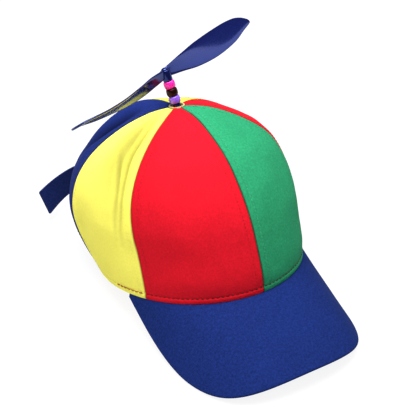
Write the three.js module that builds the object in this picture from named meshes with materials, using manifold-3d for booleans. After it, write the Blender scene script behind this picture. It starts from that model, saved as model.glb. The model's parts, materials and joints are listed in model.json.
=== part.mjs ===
import * as THREE from "three";
import { mergeVertices } from "three/addons/utils/BufferGeometryUtils.js";
import Module from "manifold-3d";

// A six-panel cloth cap with a brim, a back strap and a propeller that spins on a pin of beads.
// Millimetres. The cap is drawn with its rim in the plane z = 0, the brim towards -Y and the
// back towards +Y, and is then tipped back onto its brim and its rear hem, as it lies on a table.

// Cloth and clearances
const CLOTH = 1.5;
const CLEARANCE = 0.3;
const HEM_THICKNESS = 3;
const HEM_HEIGHT = 8;
const HEM_HOLD_HEIGHT = 14;

// Crown
const CROWN_HEIGHT = 130;
const RIM_HALF_WIDTH = 79.5;
const RIM_HALF_LENGTH = 94;
const ARCH_HALF_WIDTH = 34;
const ARCH_HEIGHT = 42;

// Brim
const BRIM_LENGTH = 52.5;
const BRIM_THICKNESS = 2.4;
const BRIM_HALF_ANGLE = 78;
const BRIM_CORNER_REACH = 1;
const BRIM_SLOPE = 0.695;
const BRIM_SIDE_DROP = 25.6;
const BRIM_EDGE_DROP = 30;
const BRIM_FRONT_CURL = 12.5;

// Strap
const STRAP_WIDTH = 21.6;
const STRAP_THICKNESS = 1.6;
const STRAP_LIFT = 3;
const STRAP_RISE = 22;
const STRAP_SPRING = 62;

// Ring of thread round the hole at the top, and the beads and the pin in it
const EYELET_HOLE_RADIUS = 4.8;
const EYELET_WIDTH = 1.9;
const EYELET_HEIGHT = 2.4;
const PIN_RADIUS = 1.7;
const PIN_DISC_RADIUS = 6.5;
const PIN_DISC_THICKNESS = 1.2;
const PIN_BOSS_RADIUS = 3.2;
const PIN_HEAD_RADIUS = 2.8;
const PIN_HEAD_HEIGHT = 1.6;
const PIN_LEAN_SIDE = -8.9;
const PIN_LEAN_BACK = 6.9;
const STACK_LIFT = 2;
const BEAD_LENGTH = 6.15;
const BEAD_RADIUS = 4.6;

// Propeller
const HUB_LENGTH = 9;
const HUB_RADIUS = 3.9;
const BLADE_REACH = 105;
const BLADE_CHORD = 26;
const BLADE_THICKNESS = 1.8;
const PROPELLER_TURN = 17.9;

// Level sections of the crown, from the rim to the top. The height is a share of the crown's
// height, the half length and the shift to the back are shares of the rim's half length, and
// the half width is a share of the rim's half width.
const CROWN_SECTIONS = [
  { height: 0.0, halfLength: 1.0, halfWidth: 1.0, shift: -0.1 },
  { height: 0.12, halfLength: 1.095, halfWidth: 1.03, shift: -0.015 },
  { height: 0.27, halfLength: 1.135, halfWidth: 1.05, shift: 0.055 },
  { height: 0.45, halfLength: 1.105, halfWidth: 1.075, shift: 0.085 },
  { height: 0.62, halfLength: 0.99, halfWidth: 1.01, shift: 0.075 },
  { height: 0.78, halfLength: 0.795, halfWidth: 0.83, shift: 0.035 },
  { height: 0.9, halfLength: 0.545, halfWidth: 0.56, shift: 0.0 },
  { height: 0.975, halfLength: 0.29, halfWidth: 0.275, shift: -0.03 },
  { height: 1.0, halfLength: 0.0, halfWidth: 0.0, shift: -0.04 },
];

// Soft swells and dents of the cloth: where the middle lies, in degrees round the crown and as a
// share of the way up, how far it spreads, and its depth as a share of the crown's height.
const SWELLS = [
  { angle: 154, up: 0.27, angleSpread: 16, upSpread: 0.12, depth: 0.023 },
  { angle: 105, up: 0.75, angleSpread: 30, upSpread: 0.14, depth: 0.03 },
  { angle: 148, up: 0.7, angleSpread: 8, upSpread: 0.12, depth: -0.01 },
  { angle: 186, up: 0.35, angleSpread: 9, upSpread: 0.25, depth: 0.008 },
  { angle: 202, up: 0.45, angleSpread: 9, upSpread: 0.3, depth: -0.01 },
  { angle: 240, up: 0.45, angleSpread: 14, upSpread: 0.25, depth: 0.006 },
  { angle: 320, up: 0.27, angleSpread: 16, upSpread: 0.14, depth: 0.01 },
  { angle: 337, up: 0.58, angleSpread: 14, upSpread: 0.08, depth: 0.01 },
  { angle: 110, up: 0.71, angleSpread: 22, upSpread: 0.08, depth: 0.017 },
];

// Seams in degrees round the crown, counterclockwise from +X. Low down a seam may drift along
// the rim, and the drift is its angle at the rim.
const SEAMS = {
  front: { angle: 270, drift: 0 },
  right_front: { angle: 330, drift: 6.6 },
  right_back: { angle: 379.4, drift: 0 },
  back: { angle: 450, drift: 0 },
  left_back: { angle: 520.6, drift: 0 },
  left_front: { angle: 570, drift: -6.6 },
  front_again: { angle: 630, drift: 0 },
};

const PANELS = [
  { name: "panel_front_right", from: "front", to: "right_front", colour: 0x2a9a60 },
  { name: "panel_right", from: "right_front", to: "right_back", colour: 0xe8182c },
  { name: "panel_back_right", from: "right_back", to: "back", colour: 0xf8ee5c },
  { name: "panel_back_left", from: "back", to: "left_back", colour: 0x28398c },
  { name: "panel_left", from: "left_back", to: "left_front", colour: 0xf8ee5c },
  { name: "panel_front_left", from: "left_front", to: "front_again", colour: 0xe8182c },
];

// Half the brim's outline as a cubic curve from the corner to the middle of the front. Across,
// shares of the rim's half width, and forward of the rim, shares of the brim's length.
const BRIM_OUTLINE = [
  { across: 1.095, forward: 0.65 },
  { across: 0.74, forward: 1 },
  { across: 0, forward: 1 },
];

// The long strap from its sewn end to its free end: degrees round the crown, the distance out
// from the hem as a share of the spring, the lower edge's height as a share of the rise, and
// the lean of its width away from upright.
const STRAP_STATIONS = [
  { angle: 60, spring: 0.0, rise: 0.0, lean: 37 },
  { angle: 71, spring: 0.0, rise: 0.0, lean: 36 },
  { angle: 80, spring: 0.2, rise: 0.3, lean: 32 },
  { angle: 92, spring: 0.72, rise: 0.77, lean: 27 },
  { angle: 104.5, spring: 0.83, rise: 1.16, lean: -3 },
  { angle: 122.5, spring: 0.86, rise: 0.84, lean: 19 },
];
const SHORT_STRAP_STATIONS = [
  { angle: 102, spring: 0, rise: 0, lean: 40 },
  { angle: 114, spring: 0, rise: 0, lean: 39 },
  { angle: 126, spring: 0, rise: 0, lean: 37 },
];

// One blade from the hub to the tip: the place along the reach, the chord as a share of the
// blade's chord, the pitch in degrees, and the sweep along the turn and the rise along the pin
// as shares of the reach.
const BLADE_STATIONS = [
  { along: 0.0, chord: 0.3, pitch: 76, sweep: 0.009, rise: 0.016 },
  { along: 0.15, chord: 0.48, pitch: 61, sweep: 0.01, rise: 0.009 },
  { along: 0.3, chord: 0.73, pitch: 44, sweep: 0.009, rise: -0.002 },
  { along: 0.5, chord: 1.0, pitch: 30, sweep: 0.008, rise: -0.001 },
  { along: 0.7, chord: 1.04, pitch: 23, sweep: 0.008, rise: 0.012 },
  { along: 0.85, chord: 0.86, pitch: 18.5, sweep: 0.007, rise: 0.031 },
  { along: 0.95, chord: 0.6, pitch: 16, sweep: -0.008, rise: 0.039 },
  { along: 1.0, chord: 0.12, pitch: 15, sweep: -0.03, rise: 0.034 },
];

const BEADS = [
  { name: "bead_purple", colour: 0xa070f0 },
  { name: "bead_brown", colour: 0x3a1a12 },
  { name: "bead_pink", colour: 0xff35b5 },
];

const NAVY = 0x141b50;
const BRIM_BLUE = 0x213783;
const THREAD = 0xd9d09a;
const PROPELLER_BLUE = 0x1e2568;

// Mesh steps
const PANEL_ROWS = 11;
const PANEL_COLUMNS = 10;
const BRIM_ROWS = 6;
const BRIM_COLUMNS = 24;
const STRAP_COLUMNS = 16;
const BLADE_ROWS = 12;
const BLADE_COLUMNS = 4;
const ROUND_STEPS = 20;

const UP = new THREE.Vector3(0, 0, 1);
const wasm = await Module();
wasm.setup();

// A smooth curve through one column of a table, at a share of the way from the first row to the
// last.
function columnAt(rows, column, share) {
  const last = rows.length - 1;
  const place = share * last;
  const low = Math.min(Math.floor(place), last - 1);
  const value = (k) => {
    if (k < 0) return 2 * rows[0][column] - rows[1][column];
    if (k > last) return 2 * rows[last][column] - rows[last - 1][column];
    return rows[k][column];
  };
  const [a, b, c, d] = [value(low - 1), value(low), value(low + 1), value(low + 2)];
  const t = place - low;
  const startSlope = (c - a) / 2;
  const endSlope = (d - b) / 2;
  const cubic = 2 * b - 2 * c + startSlope + endSlope;
  const square = 3 * c - 3 * b - 2 * startSlope - endSlope;
  return ((cubic * t + square) * t + startSlope) * t + b;
}

// Crown surface

function plainCrownPoint(angle, up) {
  const turn = THREE.MathUtils.degToRad(angle);
  const halfWidth = RIM_HALF_WIDTH * columnAt(CROWN_SECTIONS, "halfWidth", up);
  const halfLength = RIM_HALF_LENGTH * columnAt(CROWN_SECTIONS, "halfLength", up);
  const shift = RIM_HALF_LENGTH * columnAt(CROWN_SECTIONS, "shift", up);
  const height = CROWN_HEIGHT * columnAt(CROWN_SECTIONS, "height", up);
  return new THREE.Vector3(
    halfWidth * Math.cos(turn),
    shift + halfLength * Math.sin(turn),
    height,
  );
}

// The outward normal of a surface given by a function of the angle and the way up.
function normalOf(surface, angle, up) {
  const angleStep = 0.5;
  const upStep = 0.004;
  const low = Math.max(up - upStep, 0);
  const high = Math.min(up + upStep, 1);
  const round = surface(angle + angleStep, up).sub(surface(angle - angleStep, up));
  const rise = surface(angle, high).sub(surface(angle, low));
  return round.cross(rise).normalize();
}

function bell(offset, spread) {
  return Math.exp(-((offset / spread) ** 2));
}

// The stitched hem holds the cloth to the rim's line, so the swells fade out towards it.
function swellDepth(angle, up) {
  const freedom = Math.min((up * CROWN_HEIGHT) / HEM_HOLD_HEIGHT, 1);
  const depths = SWELLS.map((swell) => {
    const side = THREE.MathUtils.euclideanModulo(angle - swell.angle + 180, 360) - 180;
    return swell.depth * bell(side, swell.angleSpread) * bell(up - swell.up, swell.upSpread);
  });
  return freedom * CROWN_HEIGHT * depths.reduce((sum, depth) => sum + depth, 0);
}

function crownPoint(angle, up) {
  const normal = normalOf(plainCrownPoint, angle, up);
  return plainCrownPoint(angle, up).addScaledVector(normal, swellDepth(angle, up));
}

const APEX = plainCrownPoint(0, 1);
const EYELET_RADIUS = EYELET_HOLE_RADIUS + EYELET_WIDTH;

// How far up the crown reaches at an angle, before it meets the ring of thread.
function upAtEyelet(angle) {
  let low = 0.8;
  let high = 1;
  for (let i = 0; i < 30; i++) {
    const middle = (low + high) / 2;
    const point = plainCrownPoint(angle, middle);
    const reach = Math.hypot(point.x - APEX.x, point.y - APEX.y);
    if (reach > EYELET_RADIUS + CLEARANCE) low = middle;
    else high = middle;
  }
  return low;
}

function seamAngle(seam, share) {
  return seam.angle + seam.drift * (1 - share) ** 4;
}

// Closed sheets: a front and a back grid of points, joined round their edges. The columns run
// to the right and the rows upwards, seen from the front.

function sheetGeometry(front, back) {
  const rows = front.length;
  const columns = front[0].length;
  const at = (side, i, j) => side * rows * columns + i * columns + j;
  const index = [];
  for (let i = 0; i < rows - 1; i++) {
    for (let j = 0; j < columns - 1; j++) {
      index.push(at(0, i, j), at(0, i, j + 1), at(0, i + 1, j + 1));
      index.push(at(0, i, j), at(0, i + 1, j + 1), at(0, i + 1, j));
      index.push(at(1, i, j), at(1, i + 1, j + 1), at(1, i, j + 1));
      index.push(at(1, i, j), at(1, i + 1, j), at(1, i + 1, j + 1));
    }
  }
  const edge = edgePlaces(rows, columns);
  edge.forEach(([i, j], k) => {
    const [nextI, nextJ] = edge[(k + 1) % edge.length];
    index.push(at(0, nextI, nextJ), at(0, i, j), at(1, i, j));
    index.push(at(0, nextI, nextJ), at(1, i, j), at(1, nextI, nextJ));
  });
  const points = [...front.flat(), ...back.flat()];
  const geometry = new THREE.BufferGeometry().setFromPoints(points);
  geometry.setIndex(index);
  geometry.computeVertexNormals();
  return geometry;
}

function edgePlaces(rows, columns) {
  const places = [];
  for (let j = 0; j < columns - 1; j++) places.push([0, j]);
  for (let i = 0; i < rows - 1; i++) places.push([i, columns - 1]);
  for (let j = columns - 1; j > 0; j--) places.push([rows - 1, j]);
  for (let i = rows - 1; i > 0; i--) places.push([i, 0]);
  return places;
}

function gridNormal(grid, i, j) {
  const below = grid[Math.max(i - 1, 0)][j];
  const above = grid[Math.min(i + 1, grid.length - 1)][j];
  const left = grid[i][Math.max(j - 1, 0)];
  const right = grid[i][Math.min(j + 1, grid[i].length - 1)];
  const across = new THREE.Vector3().subVectors(right, left);
  const upwards = new THREE.Vector3().subVectors(above, below);
  return across.cross(upwards).normalize();
}

function offsetGrid(grid, offset) {
  return grid.map((row, i) =>
    row.map((point, j) => point.clone().addScaledVector(gridNormal(grid, i, j), offset)),
  );
}

function makeMesh(name, geometry, material) {
  const mesh = new THREE.Mesh(geometry, material);
  mesh.name = name;
  return mesh;
}

function clothMaterial(colour) {
  return new THREE.MeshStandardMaterial({ color: colour, roughness: 0.9, metalness: 0 });
}

function glossMaterial(colour) {
  return new THREE.MeshStandardMaterial({ color: colour, roughness: 0.2, metalness: 0 });
}

// Booleans

function solidOf(geometry) {
  const bare = new THREE.BufferGeometry();
  bare.setAttribute("position", geometry.getAttribute("position"));
  bare.setIndex(geometry.index);
  const merged = mergeVertices(bare, 1e-3);
  const vertProperties = merged.getAttribute("position").array;
  const triVerts = new Uint32Array(merged.index.array);
  return new wasm.Manifold(new wasm.Mesh({ numProp: 3, vertProperties, triVerts }));
}

function geometryOf(solid) {
  const mesh = solid.getMesh();
  const geometry = new THREE.BufferGeometry();
  geometry.setAttribute("position", new THREE.BufferAttribute(mesh.vertProperties, 3));
  geometry.setIndex(new THREE.BufferAttribute(mesh.triVerts, 1));
  geometry.computeVertexNormals();
  return geometry;
}

// Panels

// Shares of the way up at which a panel has its rows: the hem's own rows, then even steps.
function panelShares() {
  const hemTop = HEM_HEIGHT / CROWN_HEIGHT;
  const wallStart = (HEM_HEIGHT + HEM_THICKNESS) / CROWN_HEIGHT;
  const shares = [0, hemTop];
  for (let i = 0; i < PANEL_ROWS; i++) {
    shares.push(THREE.MathUtils.lerp(wallStart, 1, i / (PANEL_ROWS - 1)));
  }
  return shares;
}

function panelAngle(panel, share, across) {
  const from = seamAngle(SEAMS[panel.from], share);
  const to = seamAngle(SEAMS[panel.to], share);
  const angle = THREE.MathUtils.lerp(from, to, across);
  const up = share * upAtEyelet(angle);
  const perDegree = plainCrownPoint(angle + 0.5, up).distanceTo(plainCrownPoint(angle - 0.5, up));
  const halfGap = CLEARANCE / 2 / perDegree;
  return angle + halfGap * (1 - 2 * across);
}

// Straight inwards at the hem's foot, so that the foot is flat, and straight down at the eyelet.
function wallDirection(angle, up, share) {
  if (share === 1) return UP.clone();
  const normal = normalOf(crownPoint, angle, up);
  if (share === 0) normal.z = 0;
  return normal.normalize();
}

function panelGeometry(panel) {
  const front = [];
  const back = [];
  for (const share of panelShares()) {
    const thickness = share <= HEM_HEIGHT / CROWN_HEIGHT ? HEM_THICKNESS : CLOTH;
    const frontRow = [];
    const backRow = [];
    for (let j = 0; j <= PANEL_COLUMNS; j++) {
      const angle = panelAngle(panel, share, j / PANEL_COLUMNS);
      const up = share * upAtEyelet(angle);
      const point = crownPoint(angle, up);
      const inward = wallDirection(angle, up, share).multiplyScalar(-thickness);
      frontRow.push(point);
      backRow.push(point.clone().add(inward));
    }
    front.push(frontRow);
    back.push(backRow);
  }
  return sheetGeometry(front, back);
}

// The round-topped opening at the back, as a solid that cuts both back panels.
function archGeometry() {
  const depth = 2 * RIM_HALF_LENGTH;
  const shape = new THREE.Shape();
  shape.moveTo(-ARCH_HALF_WIDTH, -HEM_HEIGHT);
  shape.lineTo(ARCH_HALF_WIDTH, -HEM_HEIGHT);
  shape.lineTo(ARCH_HALF_WIDTH, 0);
  shape.absellipse(0, 0, ARCH_HALF_WIDTH, ARCH_HEIGHT, 0, Math.PI, false, 0);
  const geometry = new THREE.ExtrudeGeometry(shape, {
    depth,
    bevelEnabled: false,
    curveSegments: ROUND_STEPS,
  });
  return geometry.rotateX(Math.PI / 2).translate(0, depth, 0);
}

function makePanels() {
  const arch = solidOf(archGeometry());
  return PANELS.map((panel) => {
    const whole = solidOf(panelGeometry(panel));
    return makeMesh(panel.name, geometryOf(whole.subtract(arch)), clothMaterial(panel.colour));
  });
}

// Brim

function brimOutlinePoint(share) {
  const side = share < 0.5 ? -1 : 1;
  const corner = brimCorner(side);
  const frontY = plainCrownPoint(270, 0).y;
  const [first, second, middle] = BRIM_OUTLINE.map(
    ({ across, forward }) =>
      new THREE.Vector3(side * across * RIM_HALF_WIDTH, frontY - forward * BRIM_LENGTH, 0),
  );
  const curve = new THREE.CubicBezierCurve3(corner, first, second, middle);
  return curve.getPoint(1 - Math.abs(2 * share - 1));
}

function brimCorner(side) {
  const angle = 270 + side * BRIM_HALF_ANGLE;
  const outward = wallDirection(angle, 0, 0);
  return crownPoint(angle, 0).addScaledVector(outward, BRIM_CORNER_REACH);
}

// Height of the brim's top as a sheet bent over the wearer's forehead.
function brimHeight(point) {
  const forward = plainCrownPoint(270, 0).y - point.y;
  const across = point.x / RIM_HALF_WIDTH;
  const curl = Math.max(forward, 0) / BRIM_LENGTH;
  const fall = BRIM_SLOPE * forward + BRIM_FRONT_CURL * curl ** 2;
  return -fall - BRIM_SIDE_DROP * across ** 2 - BRIM_EDGE_DROP * across ** 4;
}

// One line of the brim from under the crown's wall, down to the outline.
function brimLine(share) {
  const angle = THREE.MathUtils.lerp(270 - BRIM_HALF_ANGLE, 270 + BRIM_HALF_ANGLE, share);
  const rim = crownPoint(angle, 0);
  const outward = wallDirection(angle, 0, 0);
  const outline = brimOutlinePoint(share);
  const line = [rim.clone().addScaledVector(outward, -HEM_THICKNESS)];
  for (let i = 0; i <= BRIM_ROWS; i++) {
    const out = i / BRIM_ROWS;
    const point = rim.clone().lerp(outline, out);
    point.z = brimHeight(point) - (1 - out) ** 2 * brimHeight(rim);
    line.push(point);
  }
  line.forEach((point) => (point.z -= CLEARANCE));
  return line;
}

// The underside leaves the crown straight below the top and ends square to the brim's edge.
function brimUnderside(top) {
  return top.map((row, i) =>
    row.map((point, j) => {
      const out = Math.max(i - 1, 0) / BRIM_ROWS;
      const down = UP.clone().lerp(gridNormal(top, i, j), out).normalize();
      return point.clone().addScaledVector(down, -BRIM_THICKNESS);
    }),
  );
}

function makeBrim() {
  const lines = [];
  for (let j = BRIM_COLUMNS; j >= 0; j--) lines.push(brimLine(j / BRIM_COLUMNS));
  const top = lines[0].map((_, i) => lines.map((line) => line[i]));
  const geometry = sheetGeometry(top, brimUnderside(top));
  return makeMesh("brim", geometry, clothMaterial(BRIM_BLUE));
}

// Straps

function strapPoint(stations, share, across) {
  const angle = columnAt(stations, "angle", share);
  const spring = STRAP_SPRING * columnAt(stations, "spring", share);
  const lean = THREE.MathUtils.degToRad(columnAt(stations, "lean", share));
  const up = STRAP_LIFT / CROWN_HEIGHT;
  const normal = normalOf(crownPoint, angle, up);
  const outward = new THREE.Vector3(normal.x, normal.y, 0).normalize();
  const width = outward.clone().multiplyScalar(Math.sin(lean)).addScaledVector(UP, Math.cos(lean));
  const point = crownPoint(angle, up).addScaledVector(normal, -HEM_THICKNESS - CLEARANCE);
  point.addScaledVector(outward, spring);
  point.z += STRAP_RISE * columnAt(stations, "rise", share);
  return point.addScaledVector(width, across * STRAP_WIDTH);
}

function makeStrap(name, stations) {
  const acrosses = [0, 0.5, 1];
  const front = acrosses.map((across) => {
    const row = [];
    for (let j = 0; j <= STRAP_COLUMNS; j++) {
      row.push(strapPoint(stations, j / STRAP_COLUMNS, across));
    }
    return row;
  });
  return makeMesh(
    name,
    sheetGeometry(front, offsetGrid(front, -STRAP_THICKNESS)),
    clothMaterial(NAVY),
  );
}

// Eyelet, pin, beads and propeller

function latheGeometry(profile) {
  const points = profile.map(([radius, height]) => new THREE.Vector2(radius, height));
  return new THREE.LatheGeometry(points, ROUND_STEPS).rotateX(Math.PI / 2);
}

// A ring with rounded edges, with its profile closed on itself.
function ringGeometry(holeRadius, radius, low, high, rounding) {
  return latheGeometry([
    [holeRadius, low],
    [radius - rounding, low],
    [radius, low + rounding],
    [radius, high - rounding],
    [radius - rounding, high],
    [holeRadius, high],
    [holeRadius, low],
  ]);
}

const EYELET_TOP = (EYELET_HEIGHT - CLOTH) / 2;
const EYELET_BOTTOM = EYELET_TOP - EYELET_HEIGHT;

function makeEyelet() {
  const ring = ringGeometry(
    EYELET_HOLE_RADIUS,
    EYELET_RADIUS,
    EYELET_BOTTOM,
    EYELET_TOP,
    EYELET_WIDTH / 5,
  );
  return makeMesh("eyelet", ring.translate(APEX.x, APEX.y, APEX.z), clothMaterial(THREAD));
}

const PIN_DIRECTION = new THREE.Vector3(
  Math.tan(THREE.MathUtils.degToRad(PIN_LEAN_SIDE)),
  Math.tan(THREE.MathUtils.degToRad(PIN_LEAN_BACK)),
  1,
).normalize();
const BEAD_PITCH = BEAD_LENGTH + CLEARANCE;
const HUB_BOTTOM = STACK_LIFT + BEADS.length * BEAD_PITCH;
const HUB_TOP = HUB_BOTTOM + HUB_LENGTH;
const BORE_RADIUS = PIN_RADIUS + CLEARANCE;

function makePin() {
  const lean = PIN_DIRECTION.angleTo(UP);
  const discTop = EYELET_BOTTOM - CLEARANCE - PIN_DISC_RADIUS * Math.tan(lean);
  const headBottom = HUB_TOP + CLEARANCE;
  const headTop = headBottom + PIN_HEAD_HEIGHT;
  const geometry = latheGeometry([
    [0, discTop - PIN_DISC_THICKNESS],
    [PIN_DISC_RADIUS, discTop - PIN_DISC_THICKNESS],
    [PIN_DISC_RADIUS, discTop],
    [PIN_BOSS_RADIUS, discTop],
    [PIN_BOSS_RADIUS, STACK_LIFT - CLEARANCE],
    [PIN_RADIUS, STACK_LIFT - CLEARANCE],
    [PIN_RADIUS, headBottom],
    [PIN_HEAD_RADIUS, headBottom],
    [0.8 * PIN_HEAD_RADIUS, 0.4 * headBottom + 0.6 * headTop],
    [0, headTop],
  ]);
  return makeMesh("pin", geometry, glossMaterial(PROPELLER_BLUE));
}

function makeBead(bead, place) {
  const geometry = latheGeometry([
    [BORE_RADIUS, 0],
    [0.72 * BEAD_RADIUS, 0],
    [0.95 * BEAD_RADIUS, 0.2 * BEAD_LENGTH],
    [BEAD_RADIUS, 0.5 * BEAD_LENGTH],
    [0.95 * BEAD_RADIUS, 0.8 * BEAD_LENGTH],
    [0.72 * BEAD_RADIUS, BEAD_LENGTH],
    [BORE_RADIUS, BEAD_LENGTH],
    [BORE_RADIUS, 0],
  ]);
  const mesh = makeMesh(bead.name, geometry, glossMaterial(bead.colour));
  mesh.position.z = STACK_LIFT + place * BEAD_PITCH;
  return mesh;
}

// One blade along +X, with the pin's axis as Z. Its root lies inside the hub's wall.
function bladePoint(share, across) {
  const root = (BORE_RADIUS + HUB_RADIUS) / 2;
  const along = columnAt(BLADE_STATIONS, "along", share);
  const chord = BLADE_CHORD * columnAt(BLADE_STATIONS, "chord", share);
  const turn = THREE.MathUtils.degToRad(columnAt(BLADE_STATIONS, "pitch", share));
  return new THREE.Vector3(
    THREE.MathUtils.lerp(root, BLADE_REACH, along),
    BLADE_REACH * columnAt(BLADE_STATIONS, "sweep", share) + across * chord * Math.cos(turn),
    BLADE_REACH * columnAt(BLADE_STATIONS, "rise", share) + across * chord * Math.sin(turn),
  );
}

function bladeSolid() {
  const middle = [];
  for (let i = 0; i <= BLADE_ROWS; i++) {
    const row = [];
    for (let j = 0; j <= BLADE_COLUMNS; j++) {
      row.push(bladePoint(i / BLADE_ROWS, 0.5 - j / BLADE_COLUMNS));
    }
    middle.push(row);
  }
  const front = offsetGrid(middle, BLADE_THICKNESS / 2);
  const back = offsetGrid(middle, -BLADE_THICKNESS / 2);
  return solidOf(sheetGeometry(front, back));
}

function makePropeller() {
  const rounding = 0.15 * HUB_RADIUS;
  const hub = solidOf(ringGeometry(BORE_RADIUS, HUB_RADIUS, 0, HUB_LENGTH, rounding));
  const blade = bladeSolid().translate([0, 0, HUB_LENGTH / 2]);
  const whole = hub.add(blade).add(blade.rotate([0, 0, 180]));
  const mesh = makeMesh("propeller", geometryOf(whole), glossMaterial(PROPELLER_BLUE));
  mesh.position.z = HUB_BOTTOM;
  mesh.rotation.z = THREE.MathUtils.degToRad(PROPELLER_TURN);
  return mesh;
}

function makeTop() {
  const top = new THREE.Group();
  top.position.copy(APEX);
  top.quaternion.setFromUnitVectors(UP, PIN_DIRECTION);
  top.add(makePin(), ...BEADS.map(makeBead), makePropeller());
  return top;
}

// Resting place

function lowest(objects) {
  const boxes = objects.map((object) => new THREE.Box3().setFromObject(object, true));
  return Math.min(...boxes.map((box) => box.min.z));
}

// Tips the cap back until its brim and its rear hem reach the same level.
function tipOntoBrim(cap, brim) {
  const rest = cap.children.filter((child) => child !== brim);
  let low = 0;
  let high = Math.PI / 4;
  for (let i = 0; i < 30; i++) {
    const tilt = (low + high) / 2;
    cap.rotation.x = -tilt;
    cap.updateMatrixWorld(true);
    if (lowest([brim]) < lowest(rest)) low = tilt;
    else high = tilt;
  }
}

function seatOnFloor(cap) {
  const box = new THREE.Box3().setFromObject(cap, true);
  const centre = box.getCenter(new THREE.Vector3());
  cap.position.set(-centre.x, -centre.y, -box.min.z);
}

const cap = new THREE.Group();
const brim = makeBrim();
cap.add(...makePanels(), brim, makeEyelet());
cap.add(makeStrap("strap_long", STRAP_STATIONS), makeStrap("strap_short", SHORT_STRAP_STATIONS));
cap.add(makeTop());
tipOntoBrim(cap, brim);
seatOnFloor(cap);

const beanie = new THREE.Group();
beanie.name = "propeller_beanie";
beanie.add(cap);

export default beanie;
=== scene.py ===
import json
import math

import bpy
import numpy as np
from mathutils import Matrix, Vector, noise


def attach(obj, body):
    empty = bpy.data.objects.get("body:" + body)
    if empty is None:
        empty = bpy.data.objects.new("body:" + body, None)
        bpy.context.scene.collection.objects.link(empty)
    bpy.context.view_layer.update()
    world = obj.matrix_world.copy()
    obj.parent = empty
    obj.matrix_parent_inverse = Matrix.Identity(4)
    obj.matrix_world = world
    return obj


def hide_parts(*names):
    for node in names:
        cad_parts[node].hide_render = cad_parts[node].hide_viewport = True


# The looks of a six-panel cloth cap with a brim, a back strap and a propeller on a pin of beads.
# Shapes are worked out in millimetres with the cap's rim level and its brim towards -Y, as in
# the part's source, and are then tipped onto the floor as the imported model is.

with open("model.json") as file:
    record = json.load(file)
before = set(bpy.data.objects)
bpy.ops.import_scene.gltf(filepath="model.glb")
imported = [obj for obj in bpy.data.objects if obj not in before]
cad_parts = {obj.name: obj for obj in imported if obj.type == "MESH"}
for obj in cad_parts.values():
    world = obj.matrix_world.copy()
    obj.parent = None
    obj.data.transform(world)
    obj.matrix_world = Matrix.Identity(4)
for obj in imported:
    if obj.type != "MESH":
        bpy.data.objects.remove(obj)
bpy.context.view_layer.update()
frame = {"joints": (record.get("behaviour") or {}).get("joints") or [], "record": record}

# Sizes of the part, as in its source
CLOTH = 1.5
CLEARANCE = 0.3
HEM_THICKNESS = 3
HEM_HEIGHT = 8
HEM_HOLD_HEIGHT = 14
CROWN_HEIGHT = 130
RIM_HALF_WIDTH = 79.5
RIM_HALF_LENGTH = 94
ARCH_HALF_WIDTH = 34
ARCH_HEIGHT = 42
BRIM_LENGTH = 52.5
BRIM_THICKNESS = 2.4
BRIM_HALF_ANGLE = 78
BRIM_CORNER_REACH = 1
BRIM_SLOPE = 0.695
BRIM_SIDE_DROP = 25.6
BRIM_EDGE_DROP = 30
BRIM_FRONT_CURL = 12.5
STRAP_WIDTH = 21.6
STRAP_THICKNESS = 1.6
STRAP_LIFT = 3
STRAP_RISE = 22
STRAP_SPRING = 62
EYELET_HOLE_RADIUS = 4.8
EYELET_WIDTH = 1.9
EYELET_HEIGHT = 2.4
PIN_RADIUS = 1.7
PIN_DISC_RADIUS = 6.5
PIN_DISC_THICKNESS = 1.2
PIN_BOSS_RADIUS = 3.2
PIN_HEAD_RADIUS = 2.8
PIN_HEAD_HEIGHT = 1.6
STACK_LIFT = 2.0
BEAD_LENGTH = 6.15
BEAD_RADIUS = 4.6
HUB_LENGTH = 9
HUB_RADIUS = 3.9
BLADE_REACH = 105
BLADE_CHORD = 26
BLADE_THICKNESS = 1.8
PROPELLER_TURN = 17.9

# Sizes of what only the looks have
SEAM_ROUNDING = 0.8
SEAM_ROW = 6.0
HEM_ROW = 5.0
ARCH_ROW = 5.5
STITCH_PITCH = 2.9
STITCH_LENGTH = 2.1
STITCH_RADIUS = 0.26
HEM_STITCH = {"pitch": 3.8, "length": 2.8, "radius": 0.34}
LOOSE_STITCH = {"pitch": 3.9, "length": 3.9, "radius": 0.4}
LOOSE_THREAD_LIFT = 0.5
TWILL_PITCH = 0.85
BRIM_SEAT = 0.25
BRIM_WAY_ROUND = 260
STRAP_CORNER = 1.6
NARROW_PANEL = 26
ROW_STEP = 1.4
INNER_COLUMNS = 72
WRAPS = 46
BEAD_ROUNDING = 0.35

CROWN_SECTIONS = [
    {"height": 0.0, "half_length": 1.0, "half_width": 1.0, "shift": -0.1},
    {"height": 0.12, "half_length": 1.095, "half_width": 1.03, "shift": -0.015},
    {"height": 0.27, "half_length": 1.135, "half_width": 1.05, "shift": 0.055},
    {"height": 0.45, "half_length": 1.105, "half_width": 1.075, "shift": 0.085},
    {"height": 0.62, "half_length": 0.99, "half_width": 1.01, "shift": 0.075},
    {"height": 0.78, "half_length": 0.795, "half_width": 0.83, "shift": 0.035},
    {"height": 0.9, "half_length": 0.545, "half_width": 0.56, "shift": 0.0},
    {"height": 0.975, "half_length": 0.29, "half_width": 0.275, "shift": -0.03},
    {"height": 1.0, "half_length": 0.0, "half_width": 0.0, "shift": -0.04},
]

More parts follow.
